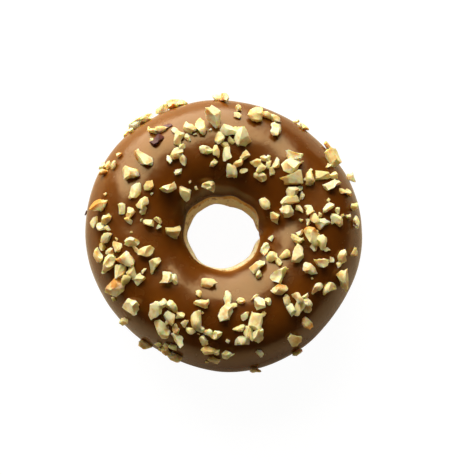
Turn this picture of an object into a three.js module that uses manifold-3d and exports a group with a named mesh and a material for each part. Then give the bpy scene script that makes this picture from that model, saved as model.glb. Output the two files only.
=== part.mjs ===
// A ring doughnut: fried dough, dipped in chocolate glaze down to just below its waist,
// and strewn with chopped hazelnuts.
// Millimetres, +Z up. The origin is on the resting plane, under the middle of the ring.
// Two directions name a place on the ring. "around" runs counter-clockwise round the hole
// from +X. "over" runs over the dough's section: 0 is the outer waist, 90 the crest,
// 180 the waist of the hole and 270 the base. Both are in degrees in the tables.

import * as THREE from "three";
import { mergeVertices } from "three/addons/utils/BufferGeometryUtils.js";
import Module from "manifold-3d";

const wasm = await Module();
wasm.setup();

// The ring
const OUTER_RADIUS = 45;
const HOLE_RADIUS = 11.4;
const WAIST_HEIGHT = 14.5;
const RISE_ABOVE_WAIST = 16.3;
const DROP_BELOW_WAIST = 15.6;
const UPPER_FULLNESS = 2.2;
const LOWER_FULLNESS = 2.5;

// The glaze
const GLAZE_GAP = 0.3;
const GLAZE_THICKNESS = 1.3;
const EDGE_THINNING = 0.35;
const OUTER_EDGE_OVER = -24;
const INNER_EDGE_OVER = 149;
const INNER_EDGE_SLANT = 8.5;

// A run of glaze goes down into the hole here, in a small bay of the dough.
const RUN_AROUND = -2;
const RUN_WIDTH = 12;
const RUN_DROP = 24;
const BAY_DEPTH = 1.4;
const RUN_CLEARANCE = 0.4;

// Slow unevenness: how many waves go round, their height, and where one peaks.
const OUTLINE_WAVES = [[2, 0.77, -37.6], [3, 0.16, 53], [4, 0.22, 9]];
const HOLE_WAVES = [[1, 0.7, -129]];
const OUTER_EDGE_WAVES = [[3, 3, 100], [7, 2, 20], [12, 1.2, 5]];
const INNER_EDGE_WAVES = [[1, 2, 180], [5, 1.2, 30], [9, 0.7, 12]];

// The crest wanders too: how far it lies towards the hole, in degrees over the section.
const CREST_WAVES = [[1, 9, 123]];

// Swells of the crust: waves round the ring, waves over it, height, and shift.
const SWELLS = [[3, 1, 0.22, 40], [5, -2, 0.18, 110], [9, 3, 0.1, 200]];

// The pieces of hazelnut that stand out, each where it lies:
// around, over, its length, and the turn of its length in plan from +X.
const SINGLE_PIECES = [
  [95, 71, 6.6, 134], [103, 77, 5.8, 110], [123, 60, 4.5, 30], [141, 74, 5.8, 130],
  [152, 72, 5.2, 10], [160, 85, 5, 65], [148, 113, 4.9, 25], [140, 130, 5, 120],
  [110, 136, 4.8, 150], [172, 53, 5.8, 50], [192, 129, 5, 15], [73, 55, 6.2, 60],
  [61, 63, 5.6, 60], [78, 88, 6.2, 120], [80, 122, 5.4, 95], [43, 77, 5.2, 150],
  [38, 86, 6.8, 175], [32, 94, 6.6, 15], [32, 40, 5.6, 120], [27, 76, 5.4, 75],
  [25, 64, 4.7, 0], [23, 12, 3.2, 100], [17, 105, 5.6, 30], [10, 111, 5.2, 175],
  [358, 79, 4.6, 20], [1, 39, 4.2, 80], [349, 88, 6.2, 150], [348, 38, 3.8, 5],
  [335, 94, 5.8, 75], [328, 126, 4.8, 100], [316, 97, 6, 40], [336, 71, 4.6, 0],
  [334, 43, 7.2, 120], [309, 89, 5, 175], [301, 37, 5, 150], [301, 9, 3.6, 40],
  [288, 71, 5.2, 70], [283, 5, 3.6, 120], [279, 55, 5, 30], [272, 84, 5.6, 35],
  [203, 95, 5.2, 25], [203, 74, 5.8, 135], [200, 54, 6.4, 35], [214, 96, 5.2, 45],
  [207, 62, 4.6, 80], [212, 49, 6.6, 35], [223, 50, 6.4, 5], [224, 26, 3, 40],
  [234, 63, 5.8, 75], [241, 50, 6.4, 105], [236, 6, 4.4, 85], [256, 72, 5.8, 100],
  [258, 114, 4.8, 170],
];

// The other pieces lie in loose patches: around, over, how many, and the patch's radius.
const PATCHES = [
  [91, 30, 2, 4], [111, 14, 2, 2.4], [128, 14, 3, 3.2], [127, 62, 3, 3], [116, 80, 5, 4],
  [126, 96, 3, 2.8], [153, 41, 4, 3], [153, 98, 1, 1], [132, 112, 1, 1], [95, 109, 4, 4],
  [88, 94, 6, 3.2], [175, 82, 3, 2.8], [169, 98, 2, 1.8], [180, 107, 2, 2.6], [180, 55, 3, 2.8],
  [192, 56, 5, 4.2], [82, 56, 2, 2], [66, 50, 3, 3], [55, 18, 3, 3.6], [37, 26, 2, 2.6],
  [72, 114, 3, 2.8], [52, 104, 7, 3.8], [21, 55, 3, 2.4], [22, 95, 3, 2.2], [29, 129, 2, 1.6],
  [11, 92, 3, 2.4], [8, 123, 2, 2], [2, 89, 3, 2.4], [5, 66, 3, 2.8], [14, 46, 2, 1.2],
  [7, 41, 1, 1], [347, 102, 2, 2], [345, 78, 3, 2.6], [326, 109, 3, 2.6], [305, 117, 2, 1.6],
  [310, 75, 4, 3.4], [314, 61, 5, 2.6], [330, 76, 1, 1], [341, 54, 2, 2.2], [325, 54, 2, 3],
  [310, 44, 1, 1], [295, 87, 3, 2.8], [278, 94, 3, 3], [283, 66, 7, 4.6], [285, 38, 1, 1],
  [268, 38, 4, 3.6], [197, 84, 3, 2.6], [212, 69, 4, 3], [230, 97, 2, 1.8], [239, 72, 3, 3],
  [255, 97, 3, 3.4], [250, 62, 6, 4.2], [263, 59, 4, 3.2], [246, 28, 4, 4],
];

// Pieces that stand out over the rim at the back, each as in the first table.
const RIM_PIECES = [
  [110, 12, 5.6, 20], [116, 14, 5, 30], [124, 18, 4.4, 60], [128, 14, 6.4, 40],
  [133, 8, 4.6, 60], [92, 26, 4, 0],
];

// The cut of the pieces
const SHORTEST_PIECE = 2.2;
const LENGTH_SPREAD = 2.7;
const WIDTH_SHARE = [0.56, 0.22];
const HEIGHT_SHARE = [0.46, 0.2];
const LARGEST_TILT = 22;
const LARGEST_ROLL = 35;
const SUNK_IN_GLAZE = 0.8;
const CLOSEST_SHARE = 0.27;
const GOLDEN_ANGLE = 137.508;
const CORNER_UNEVENNESS = 0.16;
const BLOCK_SIDE = 1.7;
const PLACE_SEED = 4105;
const CORNER_SEED = 77;

// How finely the surfaces are faceted
const STEPS_AROUND = 60;
const STEPS_OVER = 18;
const GLAZE_STEPS_OVER = 12;
const MERGE_DISTANCE = 1e-4;
const SLOPE_STEP = 0.01;

// The plain ring that the surfaces start from, before its points are moved.
// The glaze starts as a shell round its upper half, a margin in radians above the half.
const PLAIN_RING = 4;
const PLAIN_SHELL = 1.1;
const PLAIN_MARGIN = 0.1;
const PLAIN_SPAN = Math.PI - 2 * PLAIN_MARGIN;

// The random draws
const DRAW_FACTOR = 16807;
const DRAW_LIMIT = 2147483647;

const DOUGH_FINISH = { color: 0xc98f4e, roughness: 0.8, metalness: 0 };
const GLAZE_FINISH = { color: 0x5a2f10, roughness: 0.35, metalness: 0 };

const rad = THREE.MathUtils.degToRad;

// A plain generator that gives the same draws, from 0 to 1, on every machine.
function draws(seed) {
  let state = seed;
  return () => {
    state = (state * DRAW_FACTOR) % DRAW_LIMIT;
    return state / DRAW_LIMIT;
  };
}

function waves(rows, around) {
  let sum = 0;
  for (const [count, height, peak] of rows) {
    sum += height * Math.cos(count * (around - rad(peak)));
  }
  return sum;
}

function swell(around, over) {
  let sum = 0;
  for (const [round, across, height, shift] of SWELLS) {
    sum += height * Math.sin(round * around + across * over + rad(shift));
  }
  return sum;
}

// 1 where the glaze runs into the hole, falling to 0 on both sides.
function run(around) {
  const turned = around - rad(RUN_AROUND);
  const aside = Math.atan2(Math.sin(turned), Math.cos(turned));
  return Math.exp(-((aside / rad(RUN_WIDTH)) ** 2));
}

// A place on the section, when it reaches 1 from its middle to its waists, crest and base.
function section(over) {
  const power = Math.sin(over) > 0 ? UPPER_FULLNESS : LOWER_FULLNESS;
  const full = (Math.abs(Math.cos(over)) ** power + Math.abs(Math.sin(over)) ** power) ** (-1 / power);
  return { aside: full * Math.cos(over), upright: full * Math.sin(over) };
}

// A point of the crust, or at a lift above it.
function crust(around, over, lift) {
  const outer = OUTER_RADIUS - GLAZE_GAP - GLAZE_THICKNESS + waves(OUTLINE_WAVES, around);
  const hole = HOLE_RADIUS + waves(HOLE_WAVES, around) + BAY_DEPTH * run(around);
  const grown = lift + swell(around, over);
  const radius = (outer + hole) / 2 + ((outer - hole) / 2 + grown) * section(over).aside;
  const high = Math.max(0, Math.sin(over));
  const lean = rad(waves(CREST_WAVES, around)) * high ** 2;
  const reach = (high > 0 ? RISE_ABOVE_WAIST : DROP_BELOW_WAIST) + grown;
  const height = Math.max(0, WAIST_HEIGHT + reach * section(over - lean).upright);
  return new THREE.Vector3(radius * Math.cos(around), radius * Math.sin(around), height);
}

// The direction straight out of the crust.
function outwards(around, over) {
  const round = crust(around + SLOPE_STEP, over, 0).sub(crust(around - SLOPE_STEP, over, 0));
  const across = crust(around, over + SLOPE_STEP, 0).sub(crust(around, over - SLOPE_STEP, 0));
  return round.cross(across).normalize();
}

// Moves each point of a plain ring round the Z axis: its place round the ring stays,
// and its angle and distance from the ring's centre line give its place on the crust.
function reshape(geometry, place) {
  const points = geometry.getAttribute("position");
  const p = new THREE.Vector3();
  for (let i = 0; i < points.count; i++) {
    p.fromBufferAttribute(points, i);
    const side = Math.hypot(p.x, p.y) - PLAIN_RING;
    const moved = place(Math.atan2(p.y, p.x), Math.atan2(p.z, side), Math.hypot(p.z, side));
    points.setXYZ(i, moved.x, moved.y, moved.z);
  }
  return geometry;
}

function merged(geometry) {
  geometry.deleteAttribute("normal");
  geometry.deleteAttribute("uv");
  return mergeVertices(geometry, MERGE_DISTANCE);
}

function solidOf(geometry) {
  return new wasm.Manifold(new wasm.Mesh({
    numProp: 3,
    vertProperties: geometry.getAttribute("position").array,
    triVerts: new Uint32Array(geometry.index.array),
  }));
}

function geometryOf(solid) {
  const mesh = solid.getMesh();
  return new THREE.BufferGeometry()
    .setAttribute("position", new THREE.BufferAttribute(mesh.vertProperties, 3))
    .setIndex(new THREE.BufferAttribute(mesh.triVerts, 1));
}

function doughRing() {
  const ring = new THREE.TorusGeometry(PLAIN_RING, 1, STEPS_OVER, STEPS_AROUND);
  return merged(reshape(ring, (around, over) => crust(around, over, 0)));
}

// The plain shell's section, one unit from the ring's centre line inside and PLAIN_SHELL
// outside, with a point halfway at each lip.
function glazeSection() {
  const at = (share, distance) => {
    const over = PLAIN_MARGIN + PLAIN_SPAN * share;
    return new THREE.Vector2(PLAIN_RING + distance * Math.cos(over), distance * Math.sin(over));
  };
  const outside = [];
  for (let i = 1; i < GLAZE_STEPS_OVER; i++) {
    outside.push(at(i / GLAZE_STEPS_OVER, PLAIN_SHELL));
  }
  const inside = outside.map((_, i) => at(1 - (i + 1) / GLAZE_STEPS_OVER, 1));
  const lip = (1 + PLAIN_SHELL) / 2;
  return [at(0, lip), ...outside, at(1, lip), ...inside, at(0, lip)];
}

// Places a point of the plain shell between the glaze's two uneven edges.
function glazePoint(around, plainOver, distance) {
  const outerEdge = rad(OUTER_EDGE_OVER + waves(OUTER_EDGE_WAVES, around));
  const slant = INNER_EDGE_SLANT * Math.sin(around);
  const drop = RUN_DROP * run(around);
  const innerEdge = rad(INNER_EDGE_OVER + slant + waves(INNER_EDGE_WAVES, around) + drop);
  const share = (plainOver - PLAIN_MARGIN) / PLAIN_SPAN;
  const over = outerEdge + share * (innerEdge - outerEdge);
  const inside = GLAZE_GAP + RUN_CLEARANCE * run(around);
  const outside = GLAZE_GAP + GLAZE_THICKNESS * (1 - EDGE_THINNING * (2 * share - 1) ** 4);
  return crust(around, over, inside + ((outside - inside) * (distance - 1)) / (PLAIN_SHELL - 1));
}

function glazeSkin() {
  const plain = new THREE.LatheGeometry(glazeSection(), STEPS_AROUND).rotateX(Math.PI / 2);
  return solidOf(merged(reshape(plain, glazePoint)));
}

// Where each piece of hazelnut lies and how large it is. A piece of a patch that would
// come right on top of an earlier piece is left out.
function hazelnutPlaces() {
  const draw = draws(PLACE_SEED);
  const places = [];
  const cut = (around, over, length, turn) => ({
    around,
    over,
    spot: crust(around, over, GLAZE_GAP + GLAZE_THICKNESS),
    turn,
    tilt: rad(LARGEST_TILT) * (2 * draw() - 1),
    roll: rad(LARGEST_ROLL) * (2 * draw() - 1),
    size: [
      length,
      length * (WIDTH_SHARE[0] + WIDTH_SHARE[1] * draw()),
      length * (HEIGHT_SHARE[0] + HEIGHT_SHARE[1] * draw()),
    ],
  });
  const single = ([around, over, length, turn]) => cut(rad(around), rad(over), length, rad(turn));
  places.push(...SINGLE_PIECES.map(single));
  for (const [around, over, count, radius] of PATCHES) {
    const centre = crust(rad(around), rad(over), GLAZE_GAP);
    const first = 360 * draw();
    for (let i = 0; i < count; i++) {
      const bearing = rad(first + GOLDEN_ANGLE * i);
      const away = radius * Math.sqrt((i + 0.5) / count);
      const pieceAround = rad(around) + (away * Math.cos(bearing)) / Math.hypot(centre.x, centre.y);
      const pieceOver = rad(over) + (away * Math.sin(bearing)) / RISE_ABOVE_WAIST;
      const length = SHORTEST_PIECE + LENGTH_SPREAD * draw();
      const place = cut(pieceAround, pieceOver, length, 2 * Math.PI * draw());
      const crowded = places.some((other) =>
        other.spot.distanceTo(place.spot) < CLOSEST_SHARE * (other.size[0] + length));
      if (!crowded) {
        places.push(place);
      }
    }
  }
  places.push(...RIM_PIECES.map(single));
  return places;
}

// One angular piece: a block with uneven corners, stretched, tilted,
// and sunk into the glaze by the same depth whatever its tilt.
function hazelnutPiece({ around, over, spot, turn, tilt, roll, size }, draw) {
  const piece = merged(new THREE.BoxGeometry(BLOCK_SIDE, BLOCK_SIDE, BLOCK_SIDE));
  const corners = piece.getAttribute("position");
  for (let i = 0; i < corners.count; i++) {
    const scale = 1 + CORNER_UNEVENNESS * (2 * draw() - 1);
    corners.setXYZ(i, corners.getX(i) * scale, corners.getY(i) * scale, corners.getZ(i) * scale);
  }
  const [length, width, height] = size.map((whole) => whole / 2);
  const up = outwards(around, over);
  const along = new THREE.Vector3(Math.cos(turn), Math.sin(turn), 0).projectOnPlane(up).normalize();
  const aside = new THREE.Vector3().crossVectors(up, along);
  const depth = (BLOCK_SIDE / 2) * (
    length * Math.abs(Math.sin(tilt))
    + width * Math.abs(Math.cos(tilt) * Math.sin(roll))
    + height * Math.abs(Math.cos(tilt) * Math.cos(roll))
  );
  const centre = spot.clone().addScaledVector(up, depth - SUNK_IN_GLAZE);
  const matrix = new THREE.Matrix4().makeBasis(along, aside, up).setPosition(centre)
    .multiply(new THREE.Matrix4().makeRotationY(tilt))
    .multiply(new THREE.Matrix4().makeRotationX(roll))
    .scale(new THREE.Vector3(length, width, height));
  return solidOf(piece.applyMatrix4(matrix));
}

function glazeWithHazelnuts() {
  const draw = draws(CORNER_SEED);
  let glaze = glazeSkin();
  for (const place of hazelnutPlaces()) {
    glaze = glaze.add(hazelnutPiece(place, draw));
  }
  return geometryOf(glaze);
}

function mesh(name, geometry, finish) {
  const made = new THREE.Mesh(geometry, new THREE.MeshStandardMaterial(finish));
  made.name = name;
  return made;
}

const doughnut = new THREE.Group();
doughnut.add(mesh("dough_ring", doughRing(), DOUGH_FINISH));
doughnut.add(mesh("chocolate_glaze", glazeWithHazelnuts(), GLAZE_FINISH));

export default doughnut;
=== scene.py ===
"""A ring doughnut: fried dough, a milk-chocolate glaze and chopped hazelnuts, on a pale stage.

Metres, +Z up, with the origin on the floor under the middle of the ring. Two directions name
a place on the ring. "around" runs counter-clockwise round the hole from +X. "over" runs over
the dough's section: 0 is the outer waist, 90 the crest, 180 the waist of the hole and 270 the
base. The tables and constants above the classes give angles in degrees and lengths in
millimetres, unless they say otherwise.
"""

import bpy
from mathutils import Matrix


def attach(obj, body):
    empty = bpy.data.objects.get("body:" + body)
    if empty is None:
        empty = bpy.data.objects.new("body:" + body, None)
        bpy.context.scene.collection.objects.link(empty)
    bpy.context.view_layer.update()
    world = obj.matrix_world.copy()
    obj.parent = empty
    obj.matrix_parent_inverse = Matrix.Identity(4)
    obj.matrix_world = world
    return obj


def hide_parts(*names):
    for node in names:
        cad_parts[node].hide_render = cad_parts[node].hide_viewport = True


bl_info = {
    "name": "Hazelnut Doughnut",
    "version": (1, 0, 0),
    "blender": (4, 5, 0),
    "location": "View3D > Sidebar > Doughnut",
    "description": "Fried dough, chocolate glaze and chopped hazelnuts round a packed ring",
    "category": "Object",
}

import math

import bmesh
import bpy
from bpy.props import FloatProperty, FloatVectorProperty, IntProperty, PointerProperty
from mathutils import Matrix, Vector, noise

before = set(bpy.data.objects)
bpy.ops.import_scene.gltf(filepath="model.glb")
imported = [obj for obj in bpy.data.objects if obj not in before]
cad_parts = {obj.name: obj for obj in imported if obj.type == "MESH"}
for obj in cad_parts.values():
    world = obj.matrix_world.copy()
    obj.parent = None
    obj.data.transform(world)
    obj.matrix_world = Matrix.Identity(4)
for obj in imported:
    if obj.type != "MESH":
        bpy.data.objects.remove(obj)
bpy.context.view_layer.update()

BODY = "root"
MM = 0.001
TAU = 2 * math.pi

# Slow unevenness: how many waves go round, their height, and where one peaks.
OUTLINE_WAVES = [(2, 0.77, -37.6), (3, 0.16, 53), (4, 0.22, 9)]
HOLE_WAVES = [(1, 0.7, -129)]
OUTER_EDGE_WAVES = [(3, 3, 100), (7, 2, 20), (12, 1.2, 5)]
INNER_EDGE_WAVES = [(1, 2, 180), (5, 1.2, 30), (9, 0.7, 12)]

# The crest wanders too: how far it lies towards the hole, in degrees over the section.
CREST_WAVES = [(1, 9, 123)]

# Swells of the crust: waves round the ring, waves over it, height, and shift.
SWELLS = [(3, 1, 0.22, 40), (5, -2, 0.18, 110), (9, 3, 0.1, 200)]

# A run of glaze goes down into the hole here, in a small bay of the dough.
RUN_AROUND = -2
RUN_WIDTH = 12
RUN_DROP = 24
BAY_DEPTH = 1.4

# The pieces of hazelnut that stand out, each where it lies:
# around, over, its length, and the turn of its length in plan from +X.
SINGLE_PIECES = [
    (95, 71, 6.6, 134), (103, 77, 5.8, 110), (123, 60, 4.5, 30), (141, 74, 5.8, 130),
    (152, 72, 5.2, 10), (160, 85, 5, 65), (148, 113, 4.9, 25), (140, 130, 5, 120),
    (110, 136, 4.8, 150), (172, 53, 5.8, 50), (192, 129, 5, 15), (73, 55, 6.2, 60),
    (61, 63, 5.6, 60), (78, 88, 6.2, 120), (80, 122, 5.4, 95), (43, 77, 5.2, 150),
    (38, 86, 6.8, 175), (32, 94, 6.6, 15), (32, 40, 5.6, 120), (27, 76, 5.4, 75),
    (25, 64, 4.7, 0), (23, 12, 3.2, 100), (17, 105, 5.6, 30), (10, 111, 5.2, 175),
    (358, 79, 4.6, 20), (1, 39, 4.2, 80), (349, 88, 6.2, 150), (348, 38, 3.8, 5),
    (335, 94, 5.8, 75), (328, 126, 4.8, 100), (316, 97, 6, 40), (336, 71, 4.6, 0),
    (334, 43, 7.2, 120), (309, 89, 5, 175), (301, 37, 5, 150), (301, 9, 3.6, 40),
    (288, 71, 5.2, 70), (283, 5, 3.6, 120), (279, 55, 5, 30), (272, 84, 5.6, 35),
    (203, 95, 5.2, 25), (203, 74, 5.8, 135), (200, 54, 6.4, 35), (214, 96, 5.2, 45),
    (207, 62, 4.6, 80), (212, 49, 6.6, 35), (223, 50, 6.4, 5), (224, 26, 3, 40),
    (234, 63, 5.8, 75), (241, 50, 6.4, 105), (236, 6, 4.4, 85), (256, 72, 5.8, 100),
    (258, 114, 4.8, 170),
]

# The other pieces lie in loose patches: around, over, how many, and the patch's radius.
PATCHES = [
    (91, 30, 2, 4), (111, 14, 2, 2.4), (128, 14, 3, 3.2), (127, 62, 3, 3), (116, 80, 5, 4),
    (126, 96, 3, 2.8), (153, 41, 4, 3), (153, 98, 1, 1), (132, 112, 1, 1), (95, 109, 4, 4),
    (88, 94, 6, 3.2), (175, 82, 3, 2.8), (169, 98, 2, 1.8), (180, 107, 2, 2.6),
    (180, 55, 3, 2.8), (192, 56, 5, 4.2), (82, 56, 2, 2), (66, 50, 3, 3), (55, 18, 3, 3.6),
    (37, 26, 2, 2.6), (72, 114, 3, 2.8), (52, 104, 7, 3.8), (21, 55, 3, 2.4),
    (22, 95, 3, 2.2), (29, 129, 2, 1.6), (11, 92, 3, 2.4), (8, 123, 2, 2), (2, 89, 3, 2.4),
    (5, 66, 3, 2.8), (14, 46, 2, 1.2), (7, 41, 1, 1), (347, 102, 2, 2), (345, 78, 3, 2.6),
    (326, 109, 3, 2.6), (305, 117, 2, 1.6), (310, 75, 4, 3.4), (314, 61, 5, 2.6),
    (330, 76, 1, 1), (341, 54, 2, 2.2), (325, 54, 2, 3), (310, 44, 1, 1), (295, 87, 3, 2.8),
    (278, 94, 3, 3), (283, 66, 7, 4.6), (285, 38, 1, 1), (268, 38, 4, 3.6),
    (197, 84, 3, 2.6), (212, 69, 4, 3), (230, 97, 2, 1.8), (239, 72, 3, 3),
    (255, 97, 3, 3.4), (250, 62, 6, 4.2), (263, 59, 4, 3.2), (246, 28, 4, 4),
]

# Pieces that stand out over the rim at the back, each as in the first table.
RIM_PIECES = [
    (110, 12, 5.6, 20), (116, 14, 5, 30), (124, 18, 4.4, 60), (128, 14, 6.4, 40),
    (133, 8, 4.6, 60), (92, 26, 4, 0),
]

# Where toasted pieces lie among the pale ones, as around and over.
TOASTED_SPOTS = [
    (141, 74), (172, 53), (38, 86), (32, 94), (358, 79), (349, 88), (328, 126), (309, 89),
    (203, 74), (212, 49), (348, 38), (251, 69), (250, 58),
    (310, 44), (292, 67), (197, 84), (91, 30), (127, 82), (14, 46), (157, 38), (66, 50),
]
TOASTED_REACH = 2.4

# Loose flakes of the kernels' dark skin: around, over, length and turn in plan.
SKIN_FLAKES = [(128, 69, 4.4, 60), (119, 60, 2.6, 35), (172, 9, 1.6, 20), (88, 84, 1.8, 120)]

# The sizes of the pieces: width and height are shares of the length, each with its spread.
SHORTEST_PIECE = 2.2
LENGTH_SPREAD = 2.7
WIDTH_SHARE = (0.56, 0.22)
HEIGHT_SHARE = (0.46, 0.2)

# How the pieces lie. In a patch each lies one golden angle further round the middle than the
# last, and one that comes closer to another than a share of their lengths is left out.
LARGEST_TILT = 22
LARGEST_ROLL = 35
GOLDEN_ANGLE = 137.508
CLOSEST_SHARE = 0.27

# A piece is sunk in the glaze by a share of its height. It is made a little larger than its
# stated size, because its cut corners leave part of its box empty.
SUNK_SHARE = 0.22
SWOLLEN = 1.09

# How a piece is chopped, in a box 2 across: the share with a round side, the block that the
# others start from, the cuts and their distances from the middle, and how the largest cut
# faces are broken, inwards more often than outwards.
ROUNDED_SHARE = 0.6
BLOCK_SIDE = 1.7
FEWEST_CUTS = 6
MORE_CUTS = 4
NEAREST_CUT = 0.42
CUT_SPREAD = 0.38
SHALLOWEST_EDGE = 20
BROKEN_FACES = 3
BREAK_DEPTH = 0.22
BREAK_INWARDS = 1.3

# How it is roughened, bent and tapered, in the same box. Edges longer than LONG_EDGE get a
# point halfway, and an edge shows where its faces meet more sharply than SHARPEST_SMOOTH.
LONG_EDGE = 0.6
CRAGS = 2.1
CRAG_DEPTH = 0.24
CRAG_SPAN = 40
SHARPEST_SMOOTH = 45
LARGEST_BEND = 0.45
LARGEST_TAPER = 0.35

# How toasted a piece is at its middle, and how much more at its toasted end.
TOAST_BASE = 0.1
TOAST_SLOPE = 0.7

# The random draws
PLACE_SEED = 4105
SHAPE_SEED = 911
CRUMB_SEED = 53
FLAKE_SEED = 54
DRAW_FACTOR = 16807
DRAW_LIMIT = 2147483647

# The plain ring that the surfaces are spun as, before their points are moved.
PLAIN_RING = 4.0
SLOPE_STEP = 0.01


class RingSizes(bpy.types.PropertyGroup):
    """Sizes of the fried ring."""

    outer_radius: FloatProperty(
        name="Outer radius", description="From the middle to the glazed waist",
        default=0.045, min=0.02, subtype="DISTANCE", unit="LENGTH",
    )
    hole_radius: FloatProperty(
        name="Hole radius", description="Radius of the hole at its waist",
        default=0.0114, min=0.004, subtype="DISTANCE", unit="LENGTH",
    )
    waist_height: FloatProperty(
        name="Waist height", description="Height of the widest line above the floor",
        default=0.0145, min=0.005, subtype="DISTANCE", unit="LENGTH",
    )
    rise: FloatProperty(
        name="Rise above the waist", description="From the waist up to the crest",
        default=0.0163, min=0.005, subtype="DISTANCE", unit="LENGTH",
    )
    drop: FloatProperty(
        name="Drop below the waist", description="Reach below the waist if the base weren't flat",
        default=0.0156, min=0.005, subtype="DISTANCE", unit="LENGTH",
    )
    upper_fullness: FloatProperty(
        name="Upper fullness", description="2 is an oval section, and more is squarer",
        default=2.2, min=1.5, max=4,
    )
    lower_fullness: FloatProperty(
        name="Lower fullness", description="2 is an oval section, and more is squarer",
        default=2.5, min=1.5, max=4,
    )
    wrinkle: FloatProperty(
        name="Crust relief", description="Height of the small unevenness of the fried crust",
        default=0.00022, min=0, subtype="DISTANCE", unit="LENGTH",
    )
    crust: FloatVectorProperty(
        name="Fried crust", description="Golden tan beside the glaze",
        default=(0.78, 0.46, 0.13), min=0, max=1, size=3, subtype="COLOR",
    )
    dark_crust: FloatVectorProperty(
        name="Darker crust", description="Where the underside fried longest",
        default=(0.32, 0.13, 0.035), min=0, max=1, size=3, subtype="COLOR",
    )
    pale_waist: FloatVectorProperty(
        name="Pale waist", description="The band that stayed above the oil",
        default=(0.94, 0.82, 0.52), min=0, max=1, size=3, subtype="COLOR",
    )


class GlazeSizes(bpy.types.PropertyGroup):
    """Sizes of the chocolate glaze."""

    gap: FloatProperty(
        name="Lift", description="Height of the packed glaze's underside above the crust",
        default=0.0003, min=0, subtype="DISTANCE", unit="LENGTH",
    )
    thickness: FloatProperty(
        name="Thickness", description="Thickness of the glaze on the crest",
        default=0.0013, min=0.0003, subtype="DISTANCE", unit="LENGTH",
    )
    outer_edge: FloatProperty(
        name="Outer edge", description="Where the glaze ends outside, over the section",
        default=math.radians(-24), subtype="ANGLE", unit="ROTATION",
    )
    inner_edge: FloatProperty(
        name="Inner edge", description="Where the glaze ends in the hole, over the section",
        default=math.radians(149), subtype="ANGLE", unit="ROTATION",
    )
    slant: FloatProperty(
        name="Slant", description="How much further down the inner edge lies at the back",
        default=math.radians(8.5), subtype="ANGLE", unit="ROTATION",
    )
    undulation: FloatProperty(
        name="Undulation", description="Height of the slow unevenness of the glaze",
        default=0.0002, min=0, subtype="DISTANCE", unit="LENGTH",
    )
    chocolate: FloatVectorProperty(
        name="Milk chocolate", description="Colour of the glaze",
        default=(0.112, 0.0275, 0.0012), min=0, max=1, size=3, subtype="COLOR",
    )
    light_chocolate: FloatVectorProperty(
        name="Lighter streaks", description="Colour of the lighter clouds in the glaze",
        default=(0.145, 0.039, 0.0025), min=0, max=1, size=3, subtype="COLOR",
    )
    # Painted shade: this darker colour is painted on the glaze beside the hole, where its back lies in
    # shade.
    painted_shade_glaze: FloatVectorProperty(
        name="Painted shade on glaze", description="Painted shade: the darker colour beside the hole's shaded back",
        default=(0.035, 0.007, 0.0003), min=0, max=1, size=3, subtype="COLOR",
    )
    # Painted light: this lighter, oranger colour is painted where the glaze faces the key light, at the
    # hole's edge and down the outer wall.
    painted_light_glaze: FloatVectorProperty(
        name="Painted light on glaze", description="Painted light: the lighter colour where the glaze faces the key light",
        default=(0.42, 0.16, 0.03), min=0, max=1, size=3, subtype="COLOR",
    )


class NutSizes(bpy.types.PropertyGroup):
    """The chopped hazelnuts."""

    crumbs: IntProperty(
        name="Crumbs", description="How many tiny crumbs lie among the pieces",
        default=70, min=0, max=400,
    )
    kernel: FloatVectorProperty(
        name="Kernel", description="Colour of the cut kernel",
        default=(0.96, 0.79, 0.37), min=0, max=1, size=3, subtype="COLOR",
    )
    pale_kernel: FloatVectorProperty(
        name="Pale kernel", description="Colour of the palest pieces",
        default=(0.98, 0.9, 0.57), min=0, max=1, size=3, subtype="COLOR",
    )
    golden: FloatVectorProperty(
        name="Golden", description="Colour of the patches on the kernel",
        default=(0.78, 0.46, 0.12), min=0, max=1, size=3, subtype="COLOR",
    )
    toasted: FloatVectorProperty(
        name="Toasted", description="Colour of a toasted end",
        default=(0.66, 0.3, 0.05), min=0, max=1, size=3, subtype="COLOR",
    )
    skin: FloatVectorProperty(
        name="Skin", description="Colour of the dark skin flakes",
        default=(0.065, 0.014, 0.01), min=0, max=1, size=3, subtype="COLOR",
    )
    skin_veins: FloatVectorProperty(
        name="Skin veins", description="Colour of the lighter veins in the skin",
        default=(0.156, 0.0336, 0.024), min=0, max=1, size=3, subtype="COLOR",
    )


class StageSizes(bpy.types.PropertyGroup):
    """The floor, the lights and the camera."""

    camera_height: FloatProperty(
        name="Camera elevation", description="Angle of the view above the horizon",
        default=math.radians(77), subtype="ANGLE", unit="ROTATION",
    )
    camera_distance: FloatProperty(
        name="Camera distance", description="From the middle of the ring at its waist",
        default=0.4334, subtype="DISTANCE", unit="LENGTH",
    )
    camera_right: FloatProperty(
        name="Camera aside", description="How far the camera is moved to its right",
        default=0.00465, subtype="DISTANCE", unit="LENGTH",
    )
    camera_up: FloatProperty(
        name="Camera up", description="How far the camera is moved along the image's up",
        default=-0.00125, subtype="DISTANCE", unit="LENGTH",
    )
    key_around: FloatProperty(
        name="Key direction", description="Where the large soft light stands, from +X",
        default=math.radians(106), subtype="ANGLE", unit="ROTATION",
    )
    key_height: FloatProperty(
        name="Key elevation", description="Height of the large soft light above the horizon",
        default=math.radians(31), subtype="ANGLE", unit="ROTATION",
    )
    key_power: FloatProperty(
        name="Key power", description="Power of the large soft light, in watts",
        default=17.5, min=0,
    )
    floor: FloatVectorProperty(
        name="Floor", description="How much light and shade show on the glowing white floor",
        default=(0.08, 0.08, 0.08), min=0, max=1, size=3, subtype="COLOR",
    )


def draws(seed):
    """A plain generator that gives the same draws, from 0 to 1, on every machine."""
    state = seed

    def draw():
        nonlocal state
        state = state * DRAW_FACTOR % DRAW_LIMIT
        return state / DRAW_LIMIT

    return draw


def waves(rows, around):
    """The sum of the waves of a table, at a place round the ring."""
    return sum(height * math.cos(count * (around - math.radians(peak))) for count, height, peak in rows)


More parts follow.
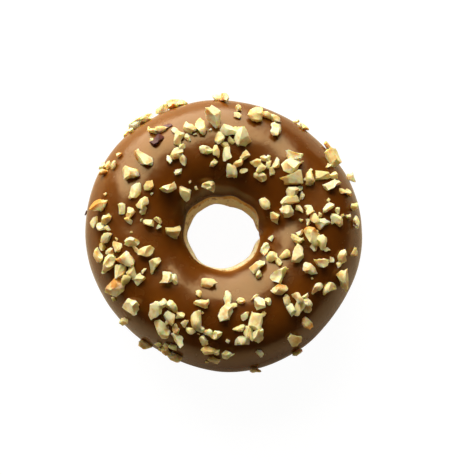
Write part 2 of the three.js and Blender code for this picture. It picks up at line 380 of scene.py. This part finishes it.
def facing(around, side):
    """1 on that side of the ring, falling to 0 on the other."""
    return (1 + math.cos(around - side)) / 2


def swell(around, over):
    """How far the swells raise the crust, in metres."""
    return MM * sum(
        height * math.sin(rounds * around + across * over + math.radians(shift))
        for rounds, across, height, shift in SWELLS
    )


def run(around):
    """1 where the glaze runs into the hole, falling to 0 on both sides."""
    turned = around - math.radians(RUN_AROUND)
    aside = math.atan2(math.sin(turned), math.cos(turned))
    return math.exp(-((aside / math.radians(RUN_WIDTH)) ** 2))


class Crust:
    """The shape of the fried crust, worked out from the scene's sizes."""

    def __init__(self, scene):
        ring = scene.doughnut_ring
        glaze = scene.doughnut_glaze
        self.outer = ring.outer_radius - glaze.gap - glaze.thickness
        self.hole = ring.hole_radius
        self.waist = ring.waist_height
        self.rise = ring.rise
        self.drop = ring.drop
        self.upper_fullness = ring.upper_fullness
        self.lower_fullness = ring.lower_fullness
        self.gap = glaze.gap
        self.glazed = glaze.gap + glaze.thickness

    def section(self, over):
        """A place on the section, when it reaches 1 from its middle to its waists, crest and base."""
        aside, upright = math.cos(over), math.sin(over)
        power = self.upper_fullness if upright > 0 else self.lower_fullness
        full = (abs(aside) ** power + abs(upright) ** power) ** (-1 / power)
        return full * aside, full * upright

    def point(self, around, over, lift):
        """A point of the crust, or at a lift above it."""
        outer = self.outer + MM * waves(OUTLINE_WAVES, around)
        hole = self.hole + MM * (waves(HOLE_WAVES, around) + BAY_DEPTH * run(around))
        grown = lift + swell(around, over)
        radius = (outer + hole) / 2 + ((outer - hole) / 2 + grown) * self.section(over)[0]
        high = max(0.0, math.sin(over))
        lean = math.radians(waves(CREST_WAVES, around)) * high ** 2
        reach = (self.rise if high > 0 else self.drop) + grown
        height = max(0.0, self.waist + reach * self.section(over - lean)[1])
        return Vector((radius * math.cos(around), radius * math.sin(around), height))

    def outwards(self, around, over):
        """The direction straight out of the crust."""
        rounds = self.point(around + SLOPE_STEP, over, 0) - self.point(around - SLOPE_STEP, over, 0)
        across = self.point(around, over + SLOPE_STEP, 0) - self.point(around, over - SLOPE_STEP, 0)
        return rounds.cross(across).normalized()

    def seat(self, around, over):
        """Where a piece lies on the glaze, and which way is up there."""
        return {
            "around": around, "over": over, "spot": self.point(around, over, self.glazed),
            "up": self.outwards(around, over),
        }


def spun_ring(steps_over, steps_around):
    """A plain ring: a circle in an upright plane, spun once round the Z axis."""
    ring = bmesh.new()
    upright = Matrix.Translation((PLAIN_RING, 0, 0)) @ Matrix.Rotation(math.pi / 2, 4, "X")
    bmesh.ops.create_circle(ring, segments=steps_over, radius=1, matrix=upright)
    bmesh.ops.spin(
        ring, geom=ring.verts[:] + ring.edges[:], cent=(0, 0, 0), axis=(0, 0, 1),
        angle=TAU, steps=steps_around, use_merge=True,
    )
    return ring


def reshape(ring, place, attribute):
    """Moves each point of a plain ring: place gives, for its place round the ring and round
    the section, its new place and the value that the material reads as the attribute."""
    layer = ring.verts.layers.float.new(attribute)
    for point in ring.verts:
        around = math.atan2(point.co.y, point.co.x)
        side = math.hypot(point.co.x, point.co.y) - PLAIN_RING
        point.co, point[layer] = place(around, math.atan2(point.co.z, side))
    for face in ring.faces:
        face.smooth = True
    bmesh.ops.recalc_face_normals(ring, faces=ring.faces)


def finished(name, shape, material, slot, *nodes):
    """Makes the shape an object of the doughnut that stands for the nodes named."""
    mesh = bpy.data.meshes.new(name)
    shape.to_mesh(mesh)
    shape.free()
    mesh.materials.append(material)
    piece = bpy.data.objects.new(name, mesh)
    bpy.context.scene.collection.objects.link(piece)
    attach(piece, BODY)
    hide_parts(*nodes)
    return piece


class Recipe:
    """A material and the few nodes that its pattern is made of."""

    def __init__(self, name, roughness, ior=1.5, gloss=(1, 1, 1)):
        self.material = bpy.data.materials.new(name)
        self.material.use_nodes = True
        self.tree = self.material.node_tree
        self.shader = self.tree.nodes["Principled BSDF"]
        self.shader.inputs["Roughness"].default_value = roughness
        self.shader.inputs["IOR"].default_value = ior
        self.shader.inputs["Specular Tint"].default_value = (*gloss, 1)
        self.place = self.tree.nodes.new("ShaderNodeTexCoord").outputs["Object"]

    def set(self, socket, value):
        """Gives a socket a constant, a colour or another node's output."""
        if isinstance(value, bpy.types.NodeSocket):
            self.tree.links.new(value, socket)
        elif hasattr(value, "__len__") and len(socket.default_value) == 4 and len(value) == 3:
            socket.default_value = (*value, 1)
        else:
            socket.default_value = value

    def noise(self, grain, detail=2.0, roughness=0.5):
        """Clouds from 0 to 1 whose spots are about one grain across."""
        node = self.tree.nodes.new("ShaderNodeTexNoise")
        self.set(node.inputs["Vector"], self.place)
        self.set(node.inputs["Scale"], 1 / grain)
        self.set(node.inputs["Detail"], detail)
        self.set(node.inputs["Roughness"], roughness)
        return node.outputs["Fac"]

    def cells(self, grain):
        """The distance from the middle of the nearest pore, from 0."""
        node = self.tree.nodes.new("ShaderNodeTexVoronoi")
        self.set(node.inputs["Vector"], self.place)
        self.set(node.inputs["Scale"], 1 / grain)
        return node.outputs["Distance"]

    def stored(self, attribute):
        """The value that the mesh's points hold under that name."""
        node = self.tree.nodes.new("ShaderNodeAttribute")
        node.attribute_name = attribute
        return node.outputs["Fac"]

    def spread(self, value, low, high, to_low=0.0, to_high=1.0):
        """Moves a value from one range to another, and stops at the ends."""
        node = self.tree.nodes.new("ShaderNodeMapRange")
        node.interpolation_type = "SMOOTHSTEP"
        for name, given in zip(
            ("Value", "From Min", "From Max", "To Min", "To Max"),
            (value, low, high, to_low, to_high),
        ):
            self.set(node.inputs[name], given)
        return node.outputs["Result"]

    def math(self, kind, first, second):
        node = self.tree.nodes.new("ShaderNodeMath")
        node.operation = kind
        self.set(node.inputs[0], first)
        self.set(node.inputs[1], second)
        return node.outputs["Value"]

    def mix(self, share, first, second):
        """From the first colour at 0 to the second at 1."""
        node = self.tree.nodes.new("ShaderNodeMix")
        node.data_type = "RGBA"
        self.set(node.inputs["Factor"], share)
        first_colour, second_colour = [socket for socket in node.inputs if socket.type == "RGBA"]
        self.set(first_colour, first)
        self.set(second_colour, second)
        return next(socket for socket in node.outputs if socket.type == "RGBA")

    def bump(self, height, depth, strength=1.0, under=None):
        """Relief of that depth in metres, on top of the relief under it."""
        node = self.tree.nodes.new("ShaderNodeBump")
        self.set(node.inputs["Height"], height)
        self.set(node.inputs["Distance"], depth)
        self.set(node.inputs["Strength"], strength)
        if under:
            self.set(node.inputs["Normal"], under)
        return node.outputs["Normal"]

    def glow_inside(self, weight, reach, tint):
        """Light that goes in and comes out again within a reach in metres."""
        self.set(self.shader.inputs["Subsurface Weight"], weight)
        self.set(self.shader.inputs["Subsurface Scale"], reach)
        self.shader.inputs["Subsurface Radius"].default_value = tint

    def finish(self, colour, normal, roughness=None):
        self.set(self.shader.inputs["Base Color"], colour)
        self.set(self.shader.inputs["Normal"], normal)
        if roughness:
            self.set(self.shader.inputs["Roughness"], roughness)
        return self.material


def fried_dough_material():
    ring = bpy.context.scene.doughnut_ring
    recipe = Recipe("fried_dough", roughness=0.6, ior=1.45)
    clouds = recipe.noise(6 * MM, detail=3)
    specks = recipe.noise(1.2 * MM, detail=2, roughness=0.6)
    browned = recipe.mix(recipe.spread(clouds, 0.35, 0.7), ring.crust, ring.dark_crust)
    under = recipe.spread(recipe.stored("fried"), 0.2, 0.9)
    crust_colour = recipe.mix(under, recipe.mix(0.3, ring.crust, browned), browned)
    edge = recipe.math("ADD", recipe.stored("fried"), recipe.spread(specks, 0.3, 0.7, -0.12, 0.12))
    pale = recipe.spread(edge, -0.55, -0.15, 1.0, 0.0)
    colour = recipe.mix(pale, crust_colour, ring.pale_waist)
    blisters = recipe.noise(1.7 * MM, detail=3, roughness=0.65)
    colour = recipe.mix(recipe.spread(blisters, 0.55, 0.68, 0.0, 0.75), colour, ring.dark_crust)
    pores = recipe.spread(recipe.cells(1.6 * MM), 0.0, 0.35)
    grain = recipe.bump(recipe.noise(0.8 * MM, detail=3), 0.2 * MM, 0.8)
    relief = recipe.bump(pores, 0.15 * MM, 0.6, under=grain)
    recipe.glow_inside(0.35, 3 * MM, (1.0, 0.6, 0.3))
    return recipe.finish(colour, relief)


def chocolate_material():
    glaze = bpy.context.scene.doughnut_glaze
    recipe = Recipe("milk_chocolate", roughness=0.25, ior=1.6, gloss=(1, 0.74, 0.38))
    clouds = recipe.noise(14 * MM, detail=3, roughness=0.55)
    colour = recipe.mix(recipe.spread(clouds, 0.35, 0.7), glaze.chocolate, glaze.light_chocolate)
    # Painted shade: the glaze beside the hole is darkened on its shaded back.
    painted_shade = recipe.spread(recipe.stored("painted_light_and_shade"), -0.9, 0.0, 1.0, 0.0)
    colour = recipe.mix(painted_shade, colour, glaze.painted_shade_glaze)
    # Painted light: lighter and oranger at the hole's edge and down the outer wall, on the side that
    # faces the key.
    painted_light_and_shade = recipe.spread(recipe.stored("painted_light_and_shade"), 0.05, 1.0)
    colour = recipe.mix(painted_light_and_shade, colour, glaze.painted_light_glaze)
    ripples = recipe.bump(recipe.noise(3.5 * MM), 0.16 * MM, 0.6)
    satin = recipe.bump(recipe.noise(0.5 * MM), 0.01 * MM, 0.5, under=ripples)
    rough = recipe.spread(recipe.noise(5 * MM), 0.3, 0.7, 0.2, 0.28)
    recipe.glow_inside(0.2, 1.2 * MM, (1.0, 0.4, 0.15))
    return recipe.finish(colour, satin, rough)


def hazelnut_material(name):
    nuts = bpy.context.scene.doughnut_nuts
    recipe = Recipe(name, roughness=0.5, ior=1.47)
    fibre = recipe.noise(1.4 * MM, detail=3, roughness=0.6)
    tone = recipe.math("ADD", recipe.stored("tone"), recipe.spread(fibre, 0.3, 0.7, -0.3, 0.3))
    colour = recipe.mix(recipe.spread(tone, 0.1, 0.9), nuts.kernel, nuts.pale_kernel)
    patches = recipe.noise(2.6 * MM)
    colour = recipe.mix(recipe.spread(patches, 0.46, 0.7, 0.0, 0.75), colour, nuts.golden)
    edge = recipe.math("ADD", recipe.stored("toast"), recipe.spread(fibre, 0.3, 0.7, -0.2, 0.2))
    colour = recipe.mix(recipe.spread(edge, 0.1, 0.65), colour, nuts.toasted)
    grain = recipe.noise(1.1 * MM, detail=3, roughness=0.6)
    recipe.glow_inside(0.7, 1.3 * MM, (1.0, 0.6, 0.2))
    return recipe.finish(colour, recipe.bump(grain, 0.25 * MM, 0.6))


def skin_material():
    nuts = bpy.context.scene.doughnut_nuts
    recipe = Recipe("hazelnut_skin", roughness=0.45)
    veins = recipe.noise(0.6 * MM, detail=3)
    colour = recipe.mix(recipe.spread(veins, 0.35, 0.7), nuts.skin, nuts.skin_veins)
    return recipe.finish(colour, recipe.bump(veins, 0.1 * MM, 0.6))


def hazelnut_places(crust):
    """Where each piece lies and how large it is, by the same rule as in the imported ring."""
    draw = draws(PLACE_SEED)
    places = []

    def cut(around, over, length, turn):
        tilt = math.radians(LARGEST_TILT) * (2 * draw() - 1)
        roll = math.radians(LARGEST_ROLL) * (2 * draw() - 1)
        width = length * (WIDTH_SHARE[0] + WIDTH_SHARE[1] * draw())
        height = length * (HEIGHT_SHARE[0] + HEIGHT_SHARE[1] * draw())
        shape = {"turn": turn, "tilt": tilt, "roll": roll, "size": (length, width, height)}
        return crust.seat(around, over) | shape

    def single(around, over, length, turn):
        return cut(math.radians(around), math.radians(over), length, math.radians(turn))

    places.extend(single(*row) for row in SINGLE_PIECES)
    for around, over, count, radius in PATCHES:
        around, over = math.radians(around), math.radians(over)
        ring_radius = crust.point(around, over, crust.gap).xy.length / MM
        first = 360 * draw()
        for i in range(count):
            bearing = math.radians(first + GOLDEN_ANGLE * i)
            away = radius * math.sqrt((i + 0.5) / count)
            piece_around = around + away * math.cos(bearing) / ring_radius
            piece_over = over + away * math.sin(bearing) * MM / crust.rise
            length = SHORTEST_PIECE + LENGTH_SPREAD * draw()
            place = cut(piece_around, piece_over, length, TAU * draw())
            crowded = any(
                (other["spot"] - place["spot"]).length
                < CLOSEST_SHARE * MM * (other["size"][0] + length)
                for other in places
            )
            if not crowded:
                places.append(place)
    places.extend(single(*row) for row in RIM_PIECES)
    return places


def direction(draw):
    """Any direction, each as likely as the others."""
    height = 2 * draw() - 1
    turn = TAU * draw()
    flat = math.sqrt(1 - height * height)
    return Vector((flat * math.cos(turn), flat * math.sin(turn), height))


def chopped(draw, cuts, rounded):
    """One chopped piece that fills a box 2 across: flat cuts, some broken into facets, and if
    rounded the kernel's own round side where no cut reached."""
    piece = bmesh.new()
    if rounded:
        bmesh.ops.create_icosphere(piece, subdivisions=2, radius=1)
    else:
        bmesh.ops.create_cube(piece, size=BLOCK_SIDE)
    # While the piece is cut, only the kernel's own round side is marked as smooth.
    for face in piece.faces:
        face.smooth = rounded
    for _ in range(cuts):
        cut_flat(piece, direction(draw), NEAREST_CUT + CUT_SPREAD * draw())
    bmesh.ops.dissolve_limit(
        piece, angle_limit=math.radians(SHALLOWEST_EDGE), verts=piece.verts, edges=piece.edges,
    )
    cut_faces = [face for face in piece.faces if not face.smooth]
    cut_faces.sort(key=lambda face: -face.calc_area())
    for face in cut_faces[:BROKEN_FACES]:
        broken = BREAK_DEPTH * (2 * draw() - BREAK_INWARDS)
        bmesh.ops.poke(piece, faces=[face], offset=broken, center_mode="MEAN_WEIGHTED")
    roughen(piece, draw)
    bend = LARGEST_BEND * (2 * draw() - 1)
    taper = LARGEST_TAPER * (2 * draw() - 1)
    for point in piece.verts:
        point.co.y = point.co.y * (1 + taper * point.co.x) + bend * point.co.x ** 2
    fill_box(piece)
    return piece


def cut_flat(piece, normal, near):
    """Cuts off what lies past a plane and closes the piece there with a flat face."""
    geometry = piece.verts[:] + piece.edges[:] + piece.faces[:]
    bmesh.ops.bisect_plane(
        piece, geom=geometry, dist=1e-5, plane_co=normal * near, plane_no=normal, clear_outer=True,
    )
    open_edges = [edge for edge in piece.edges if edge.is_boundary]
    for face in bmesh.ops.holes_fill(piece, edges=open_edges)["faces"]:
        face.smooth = False


def roughen(piece, draw):
    """Moves the points by a noise, and shades all but the sharp edges as one surface."""
    long_edges = [edge for edge in piece.edges if edge.calc_length() > LONG_EDGE]
    bmesh.ops.subdivide_edges(piece, edges=long_edges, cuts=1)
    shift = CRAG_SPAN * Vector((draw(), draw(), draw()))
    for point in piece.verts:
        point.co += CRAG_DEPTH * noise.noise_vector(CRAGS * point.co + shift)
    for face in piece.faces:
        face.smooth = True
    for edge in piece.edges:
        edge.smooth = edge.calc_face_angle(0) < math.radians(SHARPEST_SMOOTH)


def fill_box(piece):
    """Stretches a piece to a box that reaches 1 from the middle on each axis."""
    for axis in range(3):
        along = [point.co[axis] for point in piece.verts]
        low, high = min(along), max(along)
        for point in piece.verts:
            point.co[axis] = (2 * point.co[axis] - low - high) / (high - low)


def lay(heap, piece, place, tone, toast, draw):
    """Stretches, tilts and sinks a piece where it lies, and adds it to the heap."""
    up = place["up"]
    along = Vector((math.cos(place["turn"]), math.sin(place["turn"]), 0))
    along = (along - up * along.dot(up)).normalized()
    basis = Matrix((along, up.cross(along), up)).transposed().to_4x4()
    tilted = Matrix.Rotation(place["tilt"], 4, "Y") @ Matrix.Rotation(place["roll"], 4, "X")
    stretched = Matrix.Diagonal((*(whole / 2 * SWOLLEN * MM for whole in place["size"]), 1))
    toasted_end = direction(draw)
    tones = piece.verts.layers.float.new("tone")
    toasts = piece.verts.layers.float.new("toast")
    for point in piece.verts:
        point[tones] = tone
        point[toasts] = toast * (TOAST_BASE + TOAST_SLOPE * point.co.dot(toasted_end))
        point.co = tilted @ stretched @ point.co
    lowest = min(point.co.z for point in piece.verts)
    sunk = SUNK_SHARE * place["size"][2] * MM
    centre = place["spot"] + up * (-lowest - sunk)
    bmesh.ops.transform(piece, matrix=Matrix.Translation(centre) @ basis, verts=piece.verts)
    bmesh.ops.recalc_face_normals(piece, faces=piece.faces)
    scrap = bpy.data.meshes.new("scrap")
    piece.to_mesh(scrap)
    piece.free()
    heap.from_mesh(scrap)
    bpy.data.meshes.remove(scrap)


def is_toasted(place, crust):
    """True if the piece lies on one of the toasted spots."""
    for around, over in TOASTED_SPOTS:
        spot = crust.point(math.radians(around), math.radians(over), crust.glazed)
        if (spot - place["spot"]).length < TOASTED_REACH * MM:
            return True
    return False


class DOUGHNUT_OT_fried_dough(bpy.types.Operator):
    """Makes the fried dough ring"""

    bl_idname = "doughnut.fried_dough"
    bl_label = "Fried dough"

    STEPS_OVER = 120
    STEPS_AROUND = 300

    # The low relief: how many millimetres its two noises span, and the share of the finer one
    COARSE_RELIEF = 5
    FINE_RELIEF = 1.6
    FINE_SHARE = 0.45
    FINE_SHIFT = Vector((7, 3, 5))

    # The pale band: how much further down it lies at the back of the hole, how much paler it
    # is than the crust, how narrow it is, and how cloudy its edge
    PALE_SLANT = math.radians(10)
    PALENESS = 2.2
    NARROWNESS = 3
    CLOUDINESS = 0.2

    def execute(self, context):
        crust = Crust(context.scene)
        wrinkle = context.scene.doughnut_ring.wrinkle

        def place(around, over):
            flat = crust.point(around, over, 0)
            coarse = noise.noise(flat / (self.COARSE_RELIEF * MM))
            fine = noise.noise(flat / (self.FINE_RELIEF * MM) + self.FINE_SHIFT)
            point = crust.point(around, over, wrinkle * (coarse + self.FINE_SHARE * fine))
            waist = math.cos(over - self.PALE_SLANT * math.sin(around)) ** 2
            # About 1 on the browned crust, and below 0 on the pale band
            fried = 1 - self.PALENESS * waist ** self.NARROWNESS + self.CLOUDINESS * coarse
            return point, fried

        ring = spun_ring(self.STEPS_OVER, self.STEPS_AROUND)
        reshape(ring, place, "fried")
        finished("fried_dough", ring, fried_dough_material(), "dough", "dough_ring")
        return {"FINISHED"}


class DOUGHNUT_OT_chocolate_glaze(bpy.types.Operator):
    """Pours the chocolate glaze over the dough, with its rounded edges and its run"""

    bl_idname = "doughnut.chocolate_glaze"
    bl_label = "Chocolate glaze"

    STEPS_OVER = 208
    STEPS_AROUND = 360

    # The section: how short the rounding of the lips is, how much thinner the edges are than
    # the crest, how many millimetres the underside goes into the dough, and how many
    # millimetres the undulation spans
    LIP_SHARPNESS = 70
    EDGE_THINNING = 0.35
    INTO_DOUGH = 0.15
    UNDULATION_SPAN = 9

    # Beside the hole the glaze's thin edge is painted lighter and oranger on the side that faces the
    # key (painted light), and painted darker on the shaded back (painted shade). Each reaches this far
    # over the section, in radians.
    PAINTED_LIGHT_EDGE = 0.1
    PAINTED_LIGHT_EDGE_SIDE = math.radians(295)
    PAINTED_LIGHT_EDGE_NARROWING = 1.6
    PAINTED_SHADE_REACH = 0.3
    PAINTED_SHADE_SIDE = math.radians(145)

    # Down its outer wall the glaze is painted lighter on the side that faces the key: painted light.
    PAINTED_LIGHT_WALL_SIDE = math.radians(130)
    PAINTED_LIGHT_WALL_SHARE = 0.45
    PAINTED_LIGHT_WALL_FALL = 0.7

    def execute(self, context):
        crust = Crust(context.scene)
        glaze = context.scene.doughnut_glaze

        def place(around, turn):
            side = math.cos(turn)
            outer_edge = glaze.outer_edge + math.radians(waves(OUTER_EDGE_WAVES, around))
            drop = math.radians(waves(INNER_EDGE_WAVES, around) + RUN_DROP * run(around))
            inner_edge = glaze.inner_edge + glaze.slant * math.sin(around) + drop
            over = outer_edge + (1 - side) / 2 * (inner_edge - outer_edge)
            round_lip = math.sqrt(max(0.0, 1 - abs(side) ** self.LIP_SHARPNESS))
            top = glaze.gap + glaze.thickness * (1 - self.EDGE_THINNING * side ** 4)
            bottom = -self.INTO_DOUGH * MM
            flat = crust.point(around, over, top)
            top += glaze.undulation * noise.noise(flat / (self.UNDULATION_SPAN * MM)) * round_lip
            half = (top - bottom) / 2 * round_lip
            lift = (top + bottom) / 2 + math.copysign(half, math.sin(turn))
            past = over - inner_edge
            painted_light_edge_side = facing(around, self.PAINTED_LIGHT_EDGE_SIDE) ** self.PAINTED_LIGHT_EDGE_NARROWING
            painted_light_edge = math.exp(past / self.PAINTED_LIGHT_EDGE) * painted_light_edge_side
            painted_shade = math.exp(past / self.PAINTED_SHADE_REACH) * facing(around, self.PAINTED_SHADE_SIDE)
            outside = max(0.0, math.cos(over)) ** self.PAINTED_LIGHT_WALL_FALL
            painted_light_wall = max(0.0, math.cos(around - self.PAINTED_LIGHT_WALL_SIDE)) * outside
            painted_light_and_shade = max(painted_light_edge, self.PAINTED_LIGHT_WALL_SHARE * painted_light_wall)
            # Above 0 where light is painted on the glaze, and below 0 where shade is painted on
            return crust.point(around, over, lift), painted_light_and_shade if painted_light_and_shade > painted_shade else -painted_shade

        shell = spun_ring(self.STEPS_OVER, self.STEPS_AROUND)
        reshape(shell, place, "painted_light_and_shade")
        finished("chocolate_glaze_coat", shell, chocolate_material(), "glaze", "chocolate_glaze")
        return {"FINISHED"}


class DOUGHNUT_OT_chopped_hazelnuts(bpy.types.Operator):
    """Strews the chopped hazelnuts: pale pieces, toasted pieces, crumbs and flakes of skin"""

    bl_idname = "doughnut.chopped_hazelnuts"
    bl_label = "Chopped hazelnuts"

    # How toasted a toasted piece is
    LEAST_TOAST = 0.75
    TOAST_SPREAD = 0.5

    # The crumbs: how far from their piece and how long, each as the least and the spread in
    # millimetres, their width and height as shares of the length, and how toasted at most
    CRUMB_AWAY = (2.2, 2.6)
    CRUMB_LENGTH = (0.7, 1.1)
    CRUMB_SHARES = (0.8, 0.7)
    CRUMB_CUTS = 4
    CRUMB_TOAST = 0.5

    # The flakes of skin: width and height as shares of the length, and their tilt in radians
    FLAKE_SHARES = (0.62, 0.3)
    FLAKE_CUTS = 6
    FLAKE_TILT = 0.15
    FLAKE_ROLL = 0.3

    def execute(self, context):
        crust = Crust(context.scene)
        places = hazelnut_places(crust)
        draw = draws(SHAPE_SEED)
        noise.seed_set(SHAPE_SEED)
        heaps = {"pale": bmesh.new(), "toasted": bmesh.new()}
        for place in places:
            cuts = FEWEST_CUTS + int(MORE_CUTS * draw())
            rounded = draw() < ROUNDED_SHARE
            piece = chopped(draw, cuts, rounded)
            kind = "toasted" if is_toasted(place, crust) else "pale"
            toast = self.LEAST_TOAST + self.TOAST_SPREAD * draw() if kind == "toasted" else 0.0
            tone = draw()
            lay(heaps[kind], piece, place, tone, toast, draw)
        pale = hazelnut_material("pale_hazelnut")
        finished("hazelnut_pieces", heaps["pale"], pale, "hazelnut", "chocolate_glaze")
        toasted = hazelnut_material("toasted_hazelnut")
        finished("toasted_hazelnut_pieces", heaps["toasted"], toasted, "hazelnut", "chocolate_glaze")
        self.strew_crumbs(context, crust, places, pale)
        self.strew_skin(crust)
        return {"FINISHED"}

    def strew_crumbs(self, context, crust, places, material):
        """Tiny crumbs beside the pieces that they broke off."""
        draw = draws(CRUMB_SEED)
        heap = bmesh.new()
        for _ in range(context.scene.doughnut_nuts.crumbs):
            near = places[int(draw() * len(places))]
            away = (self.CRUMB_AWAY[0] + self.CRUMB_AWAY[1] * draw()) * MM
            bearing = TAU * draw()
            around = near["around"] + away * math.cos(bearing) / near["spot"].xy.length
            over = near["over"] + away * math.sin(bearing) / crust.rise
            length = self.CRUMB_LENGTH[0] + self.CRUMB_LENGTH[1] * draw()
            place = crust.seat(around, over) | {
                "turn": TAU * draw(), "tilt": draw() - 0.5, "roll": draw() - 0.5,
                "size": (length, *(length * share for share in self.CRUMB_SHARES)),
            }
            crumb = chopped(draw, self.CRUMB_CUTS, rounded=False)
            tone = draw()
            toast = self.CRUMB_TOAST * draw()
            lay(heap, crumb, place, tone, toast, draw)
        finished("hazelnut_crumbs", heap, material, "hazelnut", "chocolate_glaze")

    def strew_skin(self, crust):
        """Thin dark flakes of the kernels' skin."""
        draw = draws(FLAKE_SEED)
        heap = bmesh.new()
        for around, over, length, turn in SKIN_FLAKES:
            place = crust.seat(math.radians(around), math.radians(over)) | {
                "turn": math.radians(turn), "tilt": self.FLAKE_TILT, "roll": self.FLAKE_ROLL,
                "size": (length, *(length * share for share in self.FLAKE_SHARES)),
            }
            flake = chopped(draw, self.FLAKE_CUTS, rounded=False)
            tone = draw()
            lay(heap, flake, place, tone, 0.0, draw)
        finished("hazelnut_skin_flakes", heap, skin_material(), "hazelnut", "chocolate_glaze")


class DOUGHNUT_OT_studio_stage(bpy.types.Operator):
    """Sets up the pale floor, the soft lights and the camera"""

    bl_idname = "doughnut.studio_stage"
    bl_label = "Studio stage"

    # The floor lies a hair under the resting plane, so that it doesn't flicker with the base.
    FLOOR_HALF = 6
    FLOOR_DROP = 0.0003

    KEY_DISTANCE = 0.8
    KEY_SIZE = (0.95, 0.92)
    KEY_COLOUR = (1.0, 0.95, 0.86)

    # The camera's lens and sensor, in millimetres
    LENS = 100
    SENSOR = 36

    # How bright the floor and the sky look, and how much warm light each gives the doughnut
    BACKDROP = 0.97
    FLOOR_GLOW = 0.14
    SKY_GLOW = 0.07
    WARM = (1.0, 0.84, 0.58)
    LIT_FLOOR = (0.72, 0.61, 0.42)

    def execute(self, context):
        self.lay_floor(context)
        self.hang_key(context)
        self.colour_sky(context)
        self.place_camera(context)
        context.scene.view_settings.view_transform = "Standard"
        return {"FINISHED"}

    def lay_floor(self, context):
        stage = context.scene.doughnut_stage
        shape = bmesh.new()
        below = Matrix.Translation((0, 0, -self.FLOOR_DROP))
        bmesh.ops.create_grid(shape, x_segments=1, y_segments=1, size=self.FLOOR_HALF, matrix=below)
        mesh = bpy.data.meshes.new("floor")
        shape.to_mesh(mesh)
        shape.free()
        recipe = Recipe("pale_floor", roughness=0.8)
        seen = recipe.tree.nodes.new("ShaderNodeLightPath").outputs["Is Camera Ray"]
        recipe.set(recipe.shader.inputs["Base Color"], recipe.mix(seen, self.LIT_FLOOR, stage.floor))
        recipe.set(recipe.shader.inputs["Emission Color"], recipe.mix(seen, self.WARM, (1, 1, 1)))
        glow = recipe.spread(seen, 0.0, 1.0, self.FLOOR_GLOW, self.BACKDROP)
        recipe.set(recipe.shader.inputs["Emission Strength"], glow)
        recipe.set(recipe.shader.inputs["Specular IOR Level"], 0.0)
        mesh.materials.append(recipe.material)
        floor = bpy.data.objects.new("floor", mesh)
        context.scene.collection.objects.link(floor)

    def hang_key(self, context):
        stage = context.scene.doughnut_stage
        light = bpy.data.lights.new("key_light", "AREA")
        light.shape = "RECTANGLE"
        light.size, light.size_y = self.KEY_SIZE
        light.energy = stage.key_power
        light.color = self.KEY_COLOUR
        key = bpy.data.objects.new("key_light", light)
        flat = math.cos(stage.key_height)
        towards = Vector((
            flat * math.cos(stage.key_around), flat * math.sin(stage.key_around),
            math.sin(stage.key_height),
        ))
        key.location = towards * self.KEY_DISTANCE
        key.rotation_euler = towards.to_track_quat("Z", "Y").to_euler()
        key.visible_camera = False
        context.scene.collection.objects.link(key)

    def colour_sky(self, context):
        world = bpy.data.worlds.new("soft_sky")
        world.use_nodes = True
        nodes, links = world.node_tree.nodes, world.node_tree.links
        light, shown = nodes["Background"], nodes.new("ShaderNodeBackground")
        light.inputs["Color"].default_value = (*self.WARM, 1)
        light.inputs["Strength"].default_value = self.SKY_GLOW
        shown.inputs["Color"].default_value = (1, 1, 1, 1)
        shown.inputs["Strength"].default_value = self.BACKDROP
        seen = nodes.new("ShaderNodeLightPath").outputs["Is Camera Ray"]
        choice = nodes.new("ShaderNodeMixShader")
        for source, socket in zip((seen, light.outputs[0], shown.outputs[0]), choice.inputs):
            links.new(source, socket)
        links.new(choice.outputs[0], nodes["World Output"].inputs["Surface"])
        context.scene.world = world

    def place_camera(self, context):
        stage = context.scene.doughnut_stage
        lens = bpy.data.cameras.new("camera")
        lens.lens = self.LENS
        lens.sensor_width = self.SENSOR
        camera = bpy.data.objects.new("camera", lens)
        elevation = stage.camera_height
        back = Vector((0, -math.cos(elevation), math.sin(elevation)))
        up = Vector((0, math.sin(elevation), math.cos(elevation)))
        aim = Vector((stage.camera_right, 0, context.scene.doughnut_ring.waist_height))
        camera.location = aim + up * stage.camera_up + back * stage.camera_distance
        camera.rotation_euler = (math.pi / 2 - elevation, 0, 0)
        context.scene.collection.objects.link(camera)
        context.scene.camera = camera


class DOUGHNUT_PT_sidebar(bpy.types.Panel):
    """Lists the sizes, the colours and the steps that make the doughnut"""

    bl_idname = "DOUGHNUT_PT_sidebar"
    bl_label = "Hazelnut doughnut"
    bl_space_type = "VIEW_3D"
    bl_region_type = "UI"
    bl_category = "Doughnut"

    def draw(self, context):
        scene = context.scene
        for heading, group, operator in (
            ("Dough", scene.doughnut_ring, DOUGHNUT_OT_fried_dough),
            ("Glaze", scene.doughnut_glaze, DOUGHNUT_OT_chocolate_glaze),
            ("Hazelnuts", scene.doughnut_nuts, DOUGHNUT_OT_chopped_hazelnuts),
            ("Stage", scene.doughnut_stage, DOUGHNUT_OT_studio_stage),
        ):
            box = self.layout.box()
            box.label(text=heading)
            for name in type(group).__annotations__:
                box.prop(group, name)
            box.operator(operator.bl_idname)


GROUPS = {
    "doughnut_ring": RingSizes,
    "doughnut_glaze": GlazeSizes,
    "doughnut_nuts": NutSizes,
    "doughnut_stage": StageSizes,
}
CLASSES = (
    *GROUPS.values(),
    DOUGHNUT_OT_fried_dough,
    DOUGHNUT_OT_chocolate_glaze,
    DOUGHNUT_OT_chopped_hazelnuts,
    DOUGHNUT_OT_studio_stage,
    DOUGHNUT_PT_sidebar,
)


def register():
    for made in CLASSES:
        bpy.utils.register_class(made)
    for name, group in GROUPS.items():
        setattr(bpy.types.Scene, name, PointerProperty(type=group))


def unregister():
    for name in GROUPS:
        delattr(bpy.types.Scene, name)
    for made in reversed(CLASSES):
        bpy.utils.unregister_class(made)


def main():
    register()
    bpy.ops.doughnut.fried_dough()
    bpy.ops.doughnut.chocolate_glaze()
    bpy.ops.doughnut.chopped_hazelnuts()
    bpy.ops.doughnut.studio_stage()


if __name__ == "__main__":
    main()
